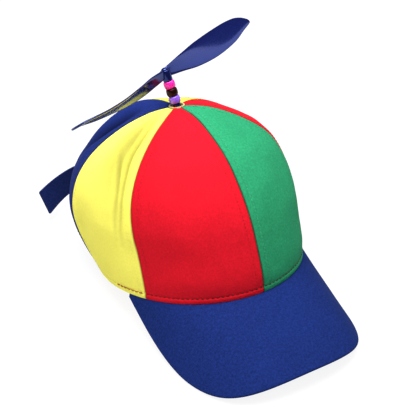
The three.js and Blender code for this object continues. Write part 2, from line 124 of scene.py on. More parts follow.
# Soft swells and dents of the cloth, as in the part's source: degrees round the crown, share of
# the way up, spreads, and depth as a share of the crown's height.
SWELLS = [
    {"angle": 154, "up": 0.27, "angle_spread": 16, "up_spread": 0.12, "depth": 0.023},
    {"angle": 105, "up": 0.75, "angle_spread": 30, "up_spread": 0.14, "depth": 0.03},
    {"angle": 148, "up": 0.7, "angle_spread": 8, "up_spread": 0.12, "depth": -0.01},
    {"angle": 186, "up": 0.35, "angle_spread": 9, "up_spread": 0.25, "depth": 0.008},
    {"angle": 202, "up": 0.45, "angle_spread": 9, "up_spread": 0.3, "depth": -0.01},
    {"angle": 240, "up": 0.45, "angle_spread": 14, "up_spread": 0.25, "depth": 0.006},
    {"angle": 320, "up": 0.27, "angle_spread": 16, "up_spread": 0.14, "depth": 0.01},
    {"angle": 337, "up": 0.58, "angle_spread": 14, "up_spread": 0.08, "depth": 0.01},
    {"angle": 110, "up": 0.71, "angle_spread": 22, "up_spread": 0.08, "depth": 0.017},
]

# Creases and soft channels: a path of degrees round the crown and shares of the way up, with
# half the width and the depth in millimetres, and how much painted shade darkens the cloth where it is folded
# in.
FOLDS = [
    {
        "path": [(187, 0.88), (198, 0.79), (199.5, 0.67), (202.5, 0.56), (203, 0.44), (200, 0.29)],
        "width": 2,
        "depth": 1.6,
        "shade": 0.5,
    },
    {"path": [(188, 0.68), (195, 0.61), (199.5, 0.5), (198, 0.32)], "width": 2.8, "depth": 1.2, "shade": 0.4},
    {"path": [(138, 0.54), (141, 0.7), (134, 0.86)], "width": 7, "depth": 3.4, "shade": 1},
    {"path": [(166, 0.2), (170, 0.3), (177, 0.38)], "width": 7, "depth": 0.9},
    {"path": [(222, 0.75), (219, 0.5), (214, 0.25)], "width": 9, "depth": 0.7},
    {"path": [(258, 0.8), (262, 0.55), (258, 0.3)], "width": 10, "depth": 0.5},
    {"path": [(300, 0.75), (306, 0.5), (303, 0.3)], "width": 10, "depth": 0.8},
    {"path": [(338, 0.65), (346, 0.45), (340, 0.25)], "width": 9, "depth": 1.0},
    {"path": [(372, 0.6), (366, 0.4), (372, 0.2)], "width": 9, "depth": 0.8},
    {"path": [(398, 0.75), (408, 0.5), (400, 0.25)], "width": 10, "depth": 1.0},
    {"path": [(432, 0.7), (424, 0.5), (420, 0.35)], "width": 9, "depth": 0.8},
    {"path": [(470, 0.7), (480, 0.5), (486, 0.3)], "width": 9, "depth": 0.9},
]

# Seams in degrees round the crown, with their drift at the rim
SEAMS = {
    "front": {"angle": 270, "drift": 0},
    "right_front": {"angle": 330, "drift": 6.6},
    "right_back": {"angle": 379.4, "drift": 0},
    "back": {"angle": 450, "drift": 0},
    "left_back": {"angle": 520.6, "drift": 0},
    "left_front": {"angle": 570, "drift": -6.6},
    "front_again": {"angle": 630, "drift": 0},
}

PANELS = [
    {"name": "front_right", "from": "front", "to": "right_front", "colour": "green"},
    {"name": "right", "from": "right_front", "to": "right_back", "colour": "red"},
    {"name": "back_right", "from": "right_back", "to": "back", "colour": "yellow"},
    {"name": "back_left", "from": "back", "to": "left_back", "colour": "blue"},
    {"name": "left", "from": "left_back", "to": "left_front", "colour": "yellow"},
    {"name": "front_left", "from": "left_front", "to": "front_again", "colour": "red"},
]

BRIM_OUTLINE = [
    {"across": 1.095, "forward": 0.65},
    {"across": 0.74, "forward": 1},
    {"across": 0, "forward": 1},
]

# Straps: degrees round the crown, distance out as a share of the spring, height as a share of
# the rise, and lean away from upright
STRAP_STATIONS = [
    {"angle": 60, "spring": 0.0, "rise": 0.0, "lean": 37},
    {"angle": 71, "spring": 0.0, "rise": 0.0, "lean": 36},
    {"angle": 80, "spring": 0.2, "rise": 0.3, "lean": 32},
    {"angle": 92, "spring": 0.72, "rise": 0.77, "lean": 27},
    {"angle": 104.5, "spring": 0.83, "rise": 1.16, "lean": -3},
    {"angle": 122.5, "spring": 0.86, "rise": 0.84, "lean": 19},
]
SHORT_STRAP_STATIONS = [
    {"angle": 102, "spring": 0, "rise": 0, "lean": 40},
    {"angle": 114, "spring": 0, "rise": 0, "lean": 39},
    {"angle": 126, "spring": 0, "rise": 0, "lean": 37},
]

BLADE_STATIONS = [
    {"along": 0.0, "chord": 0.3, "pitch": 76, "sweep": 0.009, "rise": 0.016},
    {"along": 0.15, "chord": 0.48, "pitch": 61, "sweep": 0.01, "rise": 0.009},
    {"along": 0.3, "chord": 0.73, "pitch": 44, "sweep": 0.009, "rise": -0.002},
    {"along": 0.5, "chord": 1.0, "pitch": 30, "sweep": 0.008, "rise": -0.001},
    {"along": 0.7, "chord": 1.04, "pitch": 23, "sweep": 0.008, "rise": 0.012},
    {"along": 0.85, "chord": 0.87, "pitch": 19.6, "sweep": 0.007, "rise": 0.031},
    {"along": 0.94, "chord": 0.68, "pitch": 18.8, "sweep": -0.003, "rise": 0.039},
    {"along": 0.98, "chord": 0.48, "pitch": 18.5, "sweep": -0.009, "rise": 0.037},
    {"along": 1.0, "chord": 0.12, "pitch": 18.3, "sweep": -0.016, "rise": 0.035},
]

# Cloth colours, with the thread of their seam rows
CLOTH_COLOURS = {
    "red": {"cloth": (0.66, 0.0185, 0.038), "thread": (0.48, 0.013, 0.026), "grain": 0.1},
    "yellow": {"cloth": (0.97, 0.91, 0.2), "thread": (0.96, 0.9, 0.22), "grain": 0.04},
    "green": {"cloth": (0.042, 0.322, 0.167), "thread": (0.09, 0.42, 0.24), "grain": 0.16},
    "blue": {"cloth": (0.022, 0.042, 0.195), "thread": (0.022, 0.045, 0.21), "grain": 0.2},
}
BRIM_COLOUR = (0.018, 0.0395, 0.174)
STRAP_COLOUR = (0.016, 0.029, 0.115)
HEM_THREADS = {
    "hem_stitches": (0.12, 0.02, 0.014),
    "hem_stitches_yellow": (0.96, 0.9, 0.22),
    "loose_thread": (0.34, 0.08, 0.02),
}
EYELET_COLOUR = (0.52, 0.46, 0.25)
EYELET_ORANGE = (0.75, 0.26, 0.08)
EYELET_ORANGE_ARC = (216, 234)
EYELET_PINK = (0.7, 0.25, 0.2)
EYELET_PINK_ARC = (270, 282)
PROPELLER_COLOUR = (0.01, 0.016, 0.095)
PROPELLER_GLOSS = (0.32, 0.42, 1.0)
BEADS = [
    {"name": "bead_purple", "colour": (0.36, 0.18, 0.8), "gloss": (0.8, 0.8, 1.0), "glow": 0.3},
    {"name": "bead_brown", "colour": (0.022, 0.006, 0.005), "gloss": (0.5, 0.25, 0.2), "glow": 0},
    {"name": "bead_pink", "colour": (0.95, 0.045, 0.46), "gloss": (1.0, 0.8, 0.9), "glow": 0.3},
]

# Crown surface


def column_at(rows, column, share):
    values = np.array([row[column] for row in rows], float)
    last = len(values) - 1
    padded = np.concatenate((
        [2 * values[0] - values[1]],
        values,
        [2 * values[-1] - values[-2]],
    ))
    place = np.asarray(share, float) * last
    low = np.clip(np.floor(place).astype(int), 0, last - 1)
    a, b, c, d = (padded[low + k] for k in range(4))
    t = place - low
    start = (c - a) / 2
    end = (d - b) / 2
    return (((2 * b - 2 * c + start + end) * t + 3 * c - 3 * b - 2 * start - end) * t + start) * t + b


def plain_crown(angle, up):
    turn = np.radians(angle)
    half_width = RIM_HALF_WIDTH * column_at(CROWN_SECTIONS, "half_width", up)
    half_length = RIM_HALF_LENGTH * column_at(CROWN_SECTIONS, "half_length", up)
    shift = RIM_HALF_LENGTH * column_at(CROWN_SECTIONS, "shift", up)
    height = CROWN_HEIGHT * column_at(CROWN_SECTIONS, "height", up)
    x = half_width * np.cos(turn)
    y = shift + half_length * np.sin(turn)
    return np.stack(np.broadcast_arrays(x, y, height), -1)


def unit(vectors):
    length = np.linalg.norm(vectors, axis=-1, keepdims=True)
    return vectors / np.maximum(length, 1e-12)


def normal_of(surface, angle, up):
    low = np.maximum(up - 0.004, 0)
    high = np.minimum(up + 0.004, 1)
    around = surface(angle + 0.5, up) - surface(angle - 0.5, up)
    rise = surface(angle, high) - surface(angle, low)
    return unit(np.cross(around, rise))


# The same directions laid level
def levelled(vectors):
    return unit(vectors * np.array((1, 1, 0)))


# Distance run along each line of points, from nought at its start
def run_along(points, axis=0):
    steps = np.linalg.norm(np.diff(points, axis=axis), axis=-1)
    total = np.cumsum(steps, axis=axis)
    return np.concatenate((np.zeros_like(np.take(total, [0], axis=axis)), total), axis=axis)


def bell(offset, spread):
    return np.exp(-((offset / spread) ** 2))


def swell_depth(angle, up):
    freedom = np.minimum(up * CROWN_HEIGHT / HEM_HOLD_HEIGHT, 1)
    total = 0
    for swell in SWELLS:
        side = (angle - swell["angle"] + 180) % 360 - 180
        across = bell(side, swell["angle_spread"])
        total = total + swell["depth"] * across * bell(up - swell["up"], swell["up_spread"])
    return freedom * CROWN_HEIGHT * total


def crown(angle, up):
    normal = normal_of(plain_crown, angle, up)
    return plain_crown(angle, up) + normal * swell_depth(angle, up)[..., None]


APEX = plain_crown(0.0, 1.0)
EYELET_RADIUS = EYELET_HOLE_RADIUS + EYELET_WIDTH


def up_at_eyelet(angle):
    low = np.full(np.shape(angle), 0.8)
    high = np.full(np.shape(angle), 1.0)
    for _ in range(24):
        middle = (low + high) / 2
        reach = np.linalg.norm((plain_crown(angle, middle) - APEX)[..., :2], axis=-1)
        outside = reach > EYELET_RADIUS + CLEARANCE
        low = np.where(outside, middle, low)
        high = np.where(outside, high, middle)
    return low


def seam_angle(seam, share):
    return seam["angle"] + seam["drift"] * (1 - share) ** 4


# Place of the part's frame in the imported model, from its mount and its joints


def placement():
    down = frame["record"]["mounts"][0]["axis"]
    turn = Matrix.Rotation(-math.atan2(-down[1], -down[2]), 4, "X")
    pivot = Vector(frame["joints"][0]["pos_m"])
    return Matrix.Translation(pivot) @ turn @ Matrix.Scale(0.001, 4) @ Matrix.Translation(-Vector(APEX))


PLACE = placement()
PIN_DIRECTION = PLACE.to_3x3().inverted() @ Vector(frame["joints"][0]["axis"])
PIN_DIRECTION.normalize()
PIN_TURN = Vector((0, 0, 1)).rotation_difference(PIN_DIRECTION)
TOP = Matrix.Translation(Vector(APEX)) @ PIN_TURN.to_matrix().to_4x4()


def moved(points, matrix):
    m = np.array(matrix)
    return points @ m[:3, :3].T + m[:3, 3]


# Meshes


def make_piece(name, points, faces, materials, uvs=None, face_materials=None, matrix=None):
    place = PLACE @ matrix if matrix is not None else PLACE
    mesh = bpy.data.meshes.new(name)
    mesh.from_pydata(moved(np.asarray(points).reshape(-1, 3), place).tolist(), [], faces)
    if uvs is not None:
        corners = np.zeros(len(mesh.loops), int)
        mesh.loops.foreach_get("vertex_index", corners)
        layer = mesh.uv_layers.new(name="cloth")
        layer.data.foreach_set("uv", (0.01 * np.asarray(uvs).reshape(-1, 2)[corners]).ravel())
    for material in materials:
        mesh.materials.append(material)
    if face_materials is not None:
        mesh.polygons.foreach_set("material_index", face_materials)
    mesh.polygons.foreach_set("use_smooth", np.ones(len(mesh.polygons), bool))
    mesh.update()
    piece = bpy.data.objects.new(name, mesh)
    bpy.context.scene.collection.objects.link(piece)
    return piece


def grid_faces(rows, columns, start=0, flip=False):
    i, j = np.meshgrid(np.arange(rows - 1), np.arange(columns - 1), indexing="ij")
    a = start + i * columns + j
    quads = np.stack((a, a + 1, a + columns + 1, a + columns), -1).reshape(-1, 4)
    return (quads[:, ::-1] if flip else quads).tolist()


# A closed sheet from a front and a back grid, joined round their edges
def sheet_faces(rows, columns):
    count = rows * columns
    index = np.arange(count).reshape(rows, columns)
    around = (index[0, :-1], index[:-1, -1], index[-1, :0:-1], index[:0:-1, 0])
    edge = np.concatenate(around).tolist()
    faces = grid_faces(rows, columns) + grid_faces(rows, columns, count, True)
    for here, following in zip(edge, edge[1:] + edge[:1]):
        faces.append([following, here, here + count, following + count])
    return faces


def make_sheet(name, front, back, uvs, material):
    points = np.concatenate((front.reshape(-1, 3), back.reshape(-1, 3)))
    places = np.concatenate((uvs.reshape(-1, 2), uvs.reshape(-1, 2)))
    return make_piece(name, points, sheet_faces(*front.shape[:2]), [material], places)


# A profile of radius and height turned about the upright axis
def lathe(profile, steps, ridges=None):
    profile = np.asarray(profile, float)
    turn = np.linspace(0, 2 * math.pi, steps, endpoint=False)
    radius = profile[None, :, 0]
    height = profile[None, :, 1]
    if ridges is not None:
        radius, height = ridges(turn[:, None], radius, height)
    points = np.stack(np.broadcast_arrays(
        radius * np.cos(turn)[:, None], radius * np.sin(turn)[:, None], height), -1)
    count = len(profile)
    faces = []
    for i in range(steps):
        here = i * count
        beside = (i + 1) % steps * count
        for j in range(count):
            upper = (j + 1) % count
            faces.append([here + j, beside + j, beside + upper, here + upper])
    return points.reshape(-1, 3), faces


# A profile with its corners rounded, closed on itself: rows of radius, height and rounding
def rounded_profile(corners, steps=5):
    points = []
    count = len(corners)
    for k, (radius, height, rounding) in enumerate(corners):
        here = np.array((radius, height))
        before = np.array(corners[k - 1][:2])
        after = np.array(corners[(k + 1) % count][:2])
        if rounding == 0:
            points.append(here)
            continue
        start = here + unit(before - here) * rounding
        end = here + unit(after - here) * rounding
        for t in np.linspace(0, 1, steps):
            points.append((1 - t) ** 2 * start + 2 * t * (1 - t) * here + t ** 2 * end)
    return points


def quarter_round(distance, radius):
    inside = np.clip(1 - distance / radius, 0, 1)
    return radius * (1 - np.sqrt(np.maximum(1 - inside ** 2, 0)))


def smooth_step(value, low, high):
    t = np.clip((value - low) / (high - low), 0, 1)
    return t * t * (3 - 2 * t)


def soft_noise(points, size, seed):
    flat = np.asarray(points).reshape(-1, 3) / size
    offset = Vector((seed * 7.3, seed * 3.1, seed * 5.7))
    values = [noise.noise(Vector(p) + offset) for p in flat]
    return np.array(values).reshape(np.shape(points)[:-1])


# Short threads along a line of points, each diving into the cloth at both ends
def stitches(line, normals, pitch=STITCH_PITCH, length=STITCH_LENGTH, radius=STITCH_RADIUS):
    thick = radius * np.array((0.5, 0.92, 1, 1, 0.92, 0.5))
    rings = len(thick)
    sides = 6
    run = run_along(line)
    count = int(run[-1] // pitch)
    if count < 1:
        return np.zeros((0, 3)), []
    shares = np.linspace(0, 1, rings)
    starts = (np.arange(count) + 0.5) * run[-1] / count - length / 2
    places = starts[:, None] + shares[None, :] * length
    centre = np.stack([np.interp(places, run, line[:, k]) for k in range(3)], -1)
    normal = unit(np.stack([np.interp(places, run, normals[:, k]) for k in range(3)], -1))
    lift = radius * (1.7 * np.sin(math.pi * shares) ** 0.7 - 1.15)
    centre = centre + normal * lift[None, :, None]
    along = unit(np.gradient(centre, axis=1))
    side = unit(np.cross(along, normal))
    above = np.cross(side, along)
    turn = np.arange(sides) * 2 * math.pi / sides
    ring = (side[:, :, None, :] * np.cos(turn)[None, None, :, None]
            + above[:, :, None, :] * np.sin(turn)[None, None, :, None])
    points = centre[:, :, None, :] + ring * thick[None, :, None, None]
    faces = []
    for k in range(count):
        base = k * rings * sides
        end = base + (rings - 1) * sides
        for i in range(rings - 1):
            for j in range(sides):
                a = base + i * sides + j
                b = base + i * sides + (j + 1) % sides
                faces.append([a, b, b + sides, a + sides])
        faces.append([base + j for j in range(sides - 1, -1, -1)])
        faces.append([end + j for j in range(sides)])
    return points.reshape(-1, 3), faces


def gather(parts):
    points, faces, start = [], [], 0
    for part_points, part_faces in parts:
        points.append(part_points)
        faces += [[start + v for v in face] for face in part_faces]
        start += len(part_points)
    return np.concatenate(points), faces


# Materials


def set_inputs(node, **values):
    for name, value in values.items():
        node.inputs[name.replace("_", " ")].default_value = value


def new_material(name, colour, roughness, specular=0.5):
    material = bpy.data.materials.new(name)
    material.use_nodes = True
    material.diffuse_color = (*colour, 1)
    tree = material.node_tree
    shader = tree.nodes["Principled BSDF"]
    set_inputs(shader, Base_Color=(*colour, 1), Roughness=roughness, Specular_IOR_Level=specular)
    return material, tree, shader


def math_node(tree, operation, *values):
    node = tree.nodes.new("ShaderNodeMath")
    node.operation = operation
    for socket, value in zip(node.inputs, values):
        if isinstance(value, (int, float)):
            socket.default_value = value
        else:
            tree.links.new(value, socket)
    return node.outputs[0]


def noise_node(tree, vector, scale, detail=2, roughness=0.5):
    node = tree.nodes.new("ShaderNodeTexNoise")
    set_inputs(node, Scale=scale, Detail=detail, Roughness=roughness)
    tree.links.new(vector, node.inputs["Vector"])
    return node.outputs["Fac"]


def ramp(tree, value, low, high):
    node = tree.nodes.new("ShaderNodeValToRGB")
    node.color_ramp.elements[0].color = (*low, 1)
    node.color_ramp.elements[1].color = (*high, 1)
    tree.links.new(value, node.inputs["Fac"])
    return node.outputs["Color"]


def add_bump(tree, shader, height, strength, distance):
    node = tree.nodes.new("ShaderNodeBump")
    set_inputs(node, Strength=strength, Distance=distance)
    tree.links.new(height, node.inputs["Height"])
    tree.links.new(node.outputs["Normal"], shader.inputs["Normal"])


def shade(colour, factor):
    return tuple(min(channel * factor, 1) for channel in colour)


# Diagonal ridges of twill, crossed by finer threads, from the cloth's own coordinates
def twill_height(tree):
    place = tree.nodes.new("ShaderNodeUVMap")
    place.uv_map = "cloth"
    lines = []
    for across, upwards, pitch in ((1, 1.4, TWILL_PITCH), (-1.2, 1, 0.62 * TWILL_PITCH)):
        dot = tree.nodes.new("ShaderNodeVectorMath")
        dot.operation = "DOT_PRODUCT"
        turn = 100 * 2 * math.pi / pitch / math.hypot(across, upwards)
        dot.inputs[1].default_value = (across * turn, upwards * turn, 0)
        tree.links.new(place.outputs["UV"], dot.inputs[0])
        lines.append(math_node(tree, "SINE", dot.outputs["Value"]))
    finer = math_node(tree, "MULTIPLY", lines[1], 0.4)
    both = math_node(tree, "ADD", lines[0], finer)
    return math_node(tree, "MULTIPLY_ADD", both, 0.36, 0.5)


# Painted shade: the cloth's colour is mixed towards a darker tone where it folds into a crease or meets a
# seam, as shade falls there
def darkened(tree, tone, dark):
    painted_shade = tree.nodes.new("ShaderNodeAttribute")
    painted_shade.attribute_name = "painted_shade"
    mix = tree.nodes.new("ShaderNodeMix")
    mix.data_type = "RGBA"
    mix.inputs[7].default_value = (*dark, 1)
    tree.links.new(painted_shade.outputs["Fac"], mix.inputs[0])
    tree.links.new(tone, mix.inputs[6])
    return mix.outputs[2]


# Cotton: the weave, a grain of thicker and thinner yarns, soft patches of wear, and, where asked, painted
# shade in its creases and seams
def cloth_material(name, colour, contrast=0.2, bump=0.4, shaded_creases=False):
    material, tree, shader = new_material(name, colour, 0.9, 0.06)
    set_inputs(shader, Sheen_Weight=0.02, Sheen_Roughness=0.4)
    place = tree.nodes.new("ShaderNodeTexCoord").outputs["Object"]
    weave = twill_height(tree)
    grain = noise_node(tree, place, 620, 3, 0.6)
    patches = noise_node(tree, place, 30, 2)
    total = math_node(tree, "MULTIPLY_ADD", weave, 0.2, -0.1)
    total = math_node(tree, "MULTIPLY_ADD", grain, 2.2, total)
    total = math_node(tree, "MULTIPLY_ADD", patches, 0.35, total)
    level = math_node(tree, "ADD", total, -0.78)
    tone = ramp(tree, level, shade(colour, 1 - contrast), shade(colour, 1 + contrast))
    # Painted shade: the tone is mixed towards a third of the cloth's colour where creases and seams are
    # marked
    if shaded_creases:
        tone = darkened(tree, tone, shade(colour, 0.3))
    tree.links.new(tone, shader.inputs["Base Color"])
    relief = math_node(tree, "MULTIPLY_ADD", grain, 1.2, weave)
    add_bump(tree, shader, relief, bump, 0.0002)
    return material


def thread_material(name, colour):
    material, tree, shader = new_material(name, colour, 0.7, 0.3)
    place = tree.nodes.new("ShaderNodeTexCoord").outputs["Object"]
    fibres = noise_node(tree, place, 1800, 2)
    tone = ramp(tree, fibres, shade(colour, 0.75), shade(colour, 1.2))
    tree.links.new(tone, shader.inputs["Base Color"])
    add_bump(tree, shader, fibres, 0.4, 0.0001)
    return material


def plastic_material(name, colour, roughness, gloss=(1, 1, 1), glow=0.0, ior=1.5):
    material, tree, shader = new_material(name, colour, roughness, 0.9)
    set_inputs(shader, Specular_Tint=(*gloss, 1), IOR=ior, Coat_Weight=0.08, Coat_Roughness=0.06)
    if glow:
        set_inputs(shader, Subsurface_Weight=glow, Subsurface_Scale=1)
        set_inputs(shader, Subsurface_Radius=(0.002, 0.001, 0.0015))
    place = tree.nodes.new("ShaderNodeTexCoord").outputs["Object"]
    swirl = noise_node(tree, place, 160, 3)
    tone = ramp(tree, swirl, shade(colour, 0.9), shade(colour, 1.1))
    tree.links.new(tone, shader.inputs["Base Color"])
    worn = tree.nodes.new("ShaderNodeMapRange")
    set_inputs(worn, To_Min=roughness * 0.7, To_Max=roughness * 1.5)
    tree.links.new(noise_node(tree, place, 420, 4), worn.inputs["Value"])
    tree.links.new(worn.outputs["Result"], shader.inputs["Roughness"])
    add_bump(tree, shader, noise_node(tree, place, 45, 1), 0.03, 0.0004)
    return material


# Panels


def arch_inside(points):
    return (points[..., 0] / ARCH_HALF_WIDTH) ** 2 + (points[..., 2] / ARCH_HEIGHT) ** 2 - 1


def arch_distance(points):
    x, z = points[..., 0], np.maximum(points[..., 2], 0)
    reach = np.sqrt((x / ARCH_HALF_WIDTH) ** 2 + (z / ARCH_HEIGHT) ** 2)
    steepness = np.sqrt((x / ARCH_HALF_WIDTH ** 2) ** 2 + (z / ARCH_HEIGHT ** 2) ** 2)
    slope = steepness / np.maximum(reach, 1e-6)
    distance = (reach - 1) / np.maximum(slope, 1e-6)
    return np.where(points[..., 1] > 0, distance, 999)


ALL_ANGLES = np.linspace(260, 640, 761)
EYELET_UPS = up_at_eyelet(ALL_ANGLES)


def panel_table(panel, shares):
    acrosses = np.linspace(0, 1, 301)
    start = seam_angle(SEAMS[panel["from"]], shares)[:, None]
    end = seam_angle(SEAMS[panel["to"]], shares)[:, None]
    angle = start + (end - start) * acrosses[None, :]
    up = shares[:, None] * np.interp(angle, ALL_ANGLES, EYELET_UPS)
    points = crown(angle, up)
    return angle, points, run_along(points, 1)


# Distances in from a seam at which the columns of a panel's grid lie
EDGE_STEPS = np.array((0, 0.08, 0.22, 0.42, 0.65, 0.95, 1.4, 2.0, 2.8))


# The part of each row that the arch leaves
def row_limits(points, run):
    limits = []
    for row, lengths in zip(points, run):
        value = arch_inside(row)
        cut = (value < 0) & (row[:, 1] > 0)
        low, high = 0.0, lengths[-1]
        if cut.any():
            k = int(np.argmax(cut)) if not cut[0] else int(np.argmin(cut))
            share = value[k - 1] / (value[k - 1] - value[k])
            place = lengths[k - 1] + share * (lengths[k] - lengths[k - 1])
            low, high = (place, high) if cut[0] else (low, place)
        limits.append((low, high))
    return np.array(limits)


# Places at the given shares of the way up and distances along each row, with how far they lie
# from a seam and how much a narrow panel draws in
def places_at(panel, shares, targets):
    angle, _, run = panel_table(panel, shares)
    grid_angle = np.stack([np.interp(t, r, a) for t, r, a in zip(targets, run, angle)])
    grid_up = shares[:, None] * np.interp(grid_angle, ALL_ANGLES, EYELET_UPS)
    return {
        "seam": np.minimum(targets, run[:, -1:] - targets),
        "shrink": np.minimum(1, np.broadcast_to(run[:, -1:], targets.shape) / NARROW_PANEL),
        "point": crown(grid_angle, grid_up),
        "normal": normal_of(crown, grid_angle, grid_up),
    }


def fold_paths():
    paths = []
    for fold in FOLDS:
        fine = np.linspace(0, 1, 5 * len(fold["path"]))
        rows = [{"angle": angle, "up": up} for angle, up in fold["path"]]
        paths.append(crown(column_at(rows, "angle", fine), column_at(rows, "up", fine)))
    return paths


FOLD_PATHS = fold_paths()


# How far the creases lift the cloth at the given points, and how much painted shade darkens it in them
def fold_field(points):
    lift = np.zeros(points.shape[:-1])
    dark = np.zeros(points.shape[:-1])
    for fold, path in zip(FOLDS, FOLD_PATHS):
        nearest = np.full(points.shape[:-1], 1e9)
        share = np.zeros(points.shape[:-1])
        for k in range(len(path) - 1):
            a, b = path[k], path[k + 1]
            t = np.clip(((points - a) @ (b - a)) / ((b - a) @ (b - a)), 0, 1)
            distance = np.linalg.norm(points - (a + t[..., None] * (b - a)), axis=-1)
            closer = distance < nearest
            nearest = np.where(closer, distance, nearest)
            share = np.where(closer, (k + t) / (len(path) - 1), share)
        width = fold["width"]
        strength = np.sin(math.pi * np.clip(share, 0.02, 0.98)) ** 0.7
        hollow = bell(nearest, width)
        lift -= fold["depth"] * strength * (hollow - 0.45 * bell(nearest - 2.1 * width, width))
        # Painted shade: the cloth is darkened in the hollow of each fold, where shade falls
        dark += fold.get("shade", 0) * strength * hollow
    return lift, dark


# How far the cloth's outer face stands from the plain crown, and its thickness
def cloth_relief(place):
    point, seam, shrink = place["point"], place["seam"], place["shrink"]
    hem = point[..., 2]
    arch = arch_distance(point)
    row = SEAM_ROW * shrink
    freedom = smooth_step(hem, 4, 20) * smooth_step(seam, 1, 14) * smooth_step(arch, 4, 16)
    height = place["loose"] * (0.25 + 0.75 * freedom)
    held = smooth_step(hem, 9, 12)
    padding = 0.28 * bell(seam - 0.48 * row, 0.36 * row) - 0.16 * bell(seam - row, 0.8)
    height = height + held * shrink * padding
    height = height + 0.4 * bell(hem - 2.6, 2.0) - 0.35 * bell(hem - HEM_ROW, 0.8)
    height = height + 0.35 * bell(arch - 2.8, 2.0) - 0.3 * bell(arch - ARCH_ROW, 0.8)
    edge = np.minimum(np.minimum(seam, hem), arch)
    rolled = quarter_round(edge, SEAM_ROUNDING * np.maximum(shrink, 0.4))
    allowance = 0.5 * (1 - smooth_step(seam, 6.4, 7.4)) * shrink
    turned = (HEM_THICKNESS - CLOTH) * (1 - smooth_step(hem, HEM_HEIGHT - 0.9, HEM_HEIGHT))
    bound = 0.8 * (1 - smooth_step(arch, 7, 8))
    thickness = CLOTH + np.maximum(np.maximum(allowance, turned), bound)
    return height, rolled, thickness


# The small waves that a row of stitches draws in the cloth
def puckers(place, along):
    wave = np.cos(2 * math.pi * along / (2 * STITCH_PITCH) + 3 * np.sin(along / 17))
    return 0.07 * wave * bell(place["seam"] - SEAM_ROW * place["shrink"], 2.2)


# The same places with the lift of loose cloth, and painted shade in its creases and along its seams
def with_loose(place, seed):
    point = place["point"]
    lift, dark = fold_field(point)
    # Painted shade also darkens the cloth close to each seam, where it turns into the seam
    place["dark"] = np.maximum(dark, 0.75 * bell(place["seam"], 0.8))
    place["loose"] = (
        lift
        + 1.5 * soft_noise(point, 52, seed)
        + 0.55 * soft_noise(point, 21, seed + 10)
        + 0.16 * soft_noise(point, 8, seed + 20)
    )
    return place


# The back panels are measured close beside the seam over the arch, in degrees from it
BESIDE_ARCH = {"back_right": -0.1, "back_left": 0.1}


def panel_middle(panel):
    return (SEAMS[panel["from"]]["angle"] + SEAMS[panel["to"]]["angle"]) / 2


# Shares of the way up of a panel's rows, closest at the hem's stitches and the top of the arch
def panel_shares(panel):
    heights = [0, 0.1, 0.25, 0.5, 0.8, 1.2, 1.9, 2.7, 3.4, 4, 4.5, 5, 5.5, 6, 6.6, 7.2, 7.6, 8, 8.6, 9.4]
    heights += list(np.arange(10.6, 34, 1.7))
    if panel["name"].startswith("back"):
        heights += list(ARCH_HEIGHT * np.sin(np.radians(np.arange(57, 90, 2.2))))
        heights += [42.0, 42.2, 42.6, 43.2, 44, 45]
        start = 46.0
    else:
        start = 35.6
    middle = panel_middle(panel)
    if panel["name"] in BESIDE_ARCH:
        middle = SEAMS["back"]["angle"] + BESIDE_ARCH[panel["name"]]
    shares = np.linspace(0, 1, 2001)
    path = crown(np.full(2001, middle), shares * np.interp(middle, ALL_ANGLES, EYELET_UPS))
    low = np.interp(heights, path[:, 2], shares)
    run = run_along(path)
    first = np.interp(np.interp(start, path[:, 2], shares), shares, run)
    rest = np.linspace(first, run[-1], int((run[-1] - first) / ROW_STEP))
    return np.concatenate((low, np.interp(rest, run, shares)))


def panel_grid(panel):
    shares = panel_shares(panel)
    _, points, run = panel_table(panel, shares)
    targets = []
    for low, high in row_limits(points, run):
        edge = EDGE_STEPS * min(1, (high - low) / 18)
        inner = np.linspace(low + edge[-1], high - edge[-1], INNER_COLUMNS)[1:-1]
        targets.append(np.concatenate((low + edge, inner, high - edge[::-1])))
    return shares, np.array(targets)


def outer_point(place, along):
    height, rolled, _ = cloth_relief(place)
    return place["point"] + place["normal"] * (height + puckers(place, along) - rolled)[..., None]


def build_panel(panel, seed):
    shares, targets = panel_grid(panel)
    place = with_loose(places_at(panel, shares, targets), seed)
    steps = np.linalg.norm(np.diff(place["point"], axis=0), axis=2).mean(axis=1)
    along = np.broadcast_to(np.concatenate(([0], np.cumsum(steps)))[:, None], targets.shape)
    height, rolled, thickness = cloth_relief(place)
    front = outer_point(place, along)
    flat = place["normal"].copy()
    flat[0, :, 2] = 0
    inward = unit(flat)
    back = place["point"] + inward * (height - thickness + 0.6 * rolled)[..., None]
    front[0] = place["point"][0] - inward[0] * rolled[0][:, None]
    front[..., 2] = np.maximum(front[..., 2], 0)
    back[..., 2] = np.maximum(back[..., 2], 0)
    material = CLOTH_MATERIALS[panel["colour"]]
    uvs = np.stack((targets, along), -1)
    piece = make_sheet(f"cloth_{panel['name']}", front, back, uvs, material)
    # The painted shade of creases and seams goes on the outer face only, as a point attribute
    dark = np.concatenate((place["dark"].ravel(), np.zeros(targets.size)))
    painted_shade = piece.data.attributes.new("painted_shade", "FLOAT", "POINT")
    painted_shade.data.foreach_set("value", dark)
    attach(piece, "cap")
    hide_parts(f"panel_{panel['name']}")


# The lines of stitches beside both seams of a panel
def seam_rows(panel, seed):
    shares = np.linspace(0.062, 0.985, 420)
    _, points, run = panel_table(panel, shares)
    limits = row_limits(points, run)
    offset = SEAM_ROW * np.minimum(1, run[:, -1] / NARROW_PANEL)
    lines = []
    for side in ("from", "to"):
        target = offset if side == "from" else run[:, -1] - offset
        kept = (target > limits[:, 0] + ARCH_ROW) & (target < limits[:, 1] - ARCH_ROW * 0.9)
        if not panel["name"].startswith("back"):
            kept[:] = True
        place = with_loose(places_at(panel, shares[kept], target[kept][:, None]), seed)
        lines.append((outer_point(place, 0)[:, 0], place["normal"][:, 0]))
    return lines


